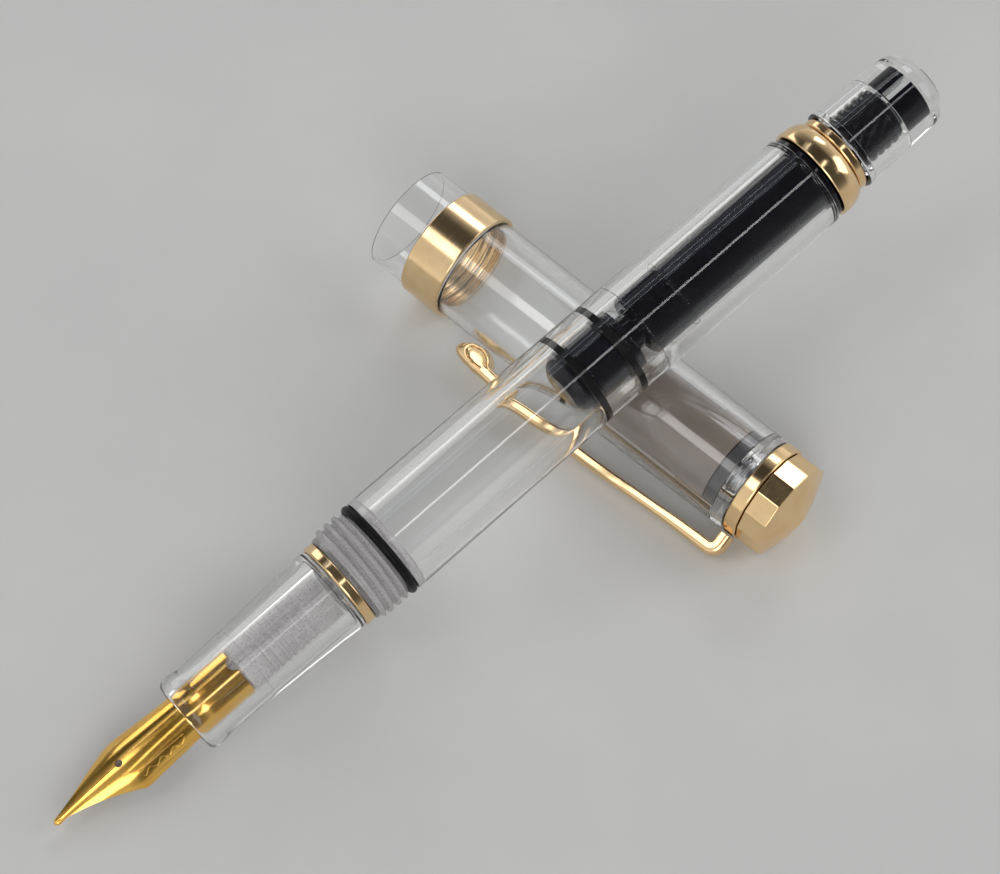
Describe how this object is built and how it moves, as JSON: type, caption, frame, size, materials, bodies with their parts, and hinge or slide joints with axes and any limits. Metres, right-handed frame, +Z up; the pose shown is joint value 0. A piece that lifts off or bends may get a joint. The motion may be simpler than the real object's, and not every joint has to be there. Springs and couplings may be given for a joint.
{
  "type": "fountain pen",
  "caption": "Clear piston-filler fountain pen with gilt nib, rings and clip, lying tail-up across its own threaded cap.",
  "frame": {"origin": "on the table, below the middle of the pen and cap as they lie", "axes": "+Z up, +X from the nib towards the tail in plan, +Y along the cap towards its mouth"},
  "size_m": [0.1274, 0.0614, 0.0341],
  "materials": {
    "clear_acrylic": "polished clear",
    "smoke_acrylic": "smoky translucent",
    "gold_plate": "polished gilt",
    "gold_nib": "gilt steel sheet",
    "bright_steel": "bright turned steel",
    "black_plastic": "gloss moulded",
    "black_rubber": "satin"
  },
  "bodies": {
    "cap": {"cap_tube": "clear_acrylic", "cap_band": "gold_plate", "inner_cap": "smoke_acrylic", "liner_washer": "black_rubber", "finial_screw": "bright_steel", "clip_ring": "gold_plate", "finial": "gold_plate"},
    "clip": {"pocket_clip": "gold_plate"},
    "barrel": {"nib": "gold_nib", "feed": "clear_acrylic", "grip_section": "clear_acrylic", "section_trim_ring": "gold_plate", "barrel": "clear_acrylic", "cap_seal_o_ring": "black_rubber", "piston_guide": "black_plastic", "tail_ring": "gold_plate"},
    "piston": {"piston_head": "black_plastic", "front_piston_seal": "black_rubber", "rear_piston_seal": "black_rubber", "piston_rod": "black_plastic"},
    "knob_ring": {"knob_trim_ring": "gold_plate"},
    "knob": {"filling_knob": "clear_acrylic", "piston_spindle": "black_plastic"}
  },
  "joints": [
    {"name": "clip_flex", "type": "hinge", "parent": "cap", "child": "clip", "pos_m": [0.01116, -0.02497, 0.00157], "axis": [-0.4879, -0.0152, 0.8728], "range_deg": [0, 4], "stiffness_Nm_per_rad": 0.05},
    {"name": "pen_lift", "type": "slide", "parent": "cap", "child": "barrel", "axis": [0, 0, 1], "range_m": [0, 0.03]},
    {"name": "piston_slide", "type": "slide", "parent": "barrel", "child": "piston", "axis": [-0.9645, 0.139, -0.2245], "range_m": [0, 0.024]},
    {"name": "knob_rise", "type": "slide", "parent": "barrel", "child": "knob_ring", "axis": [0.9645, -0.139, 0.2245], "range_m": [0, 0.005]},
    {"name": "knob_turn", "type": "hinge", "parent": "knob_ring", "child": "knob", "pos_m": [0.05724, -0.00943, 0.02844], "axis": [0.9645, -0.139, 0.2245], "range_deg": [0, 1800]}
  ],
  "couplings": [
    {"joint": "knob_rise", "follows": "piston_slide", "ratio": 0.2083},
    {"joint": "knob_turn", "follows": "piston_slide", "rad_per_m": 1308.9}
  ]
}
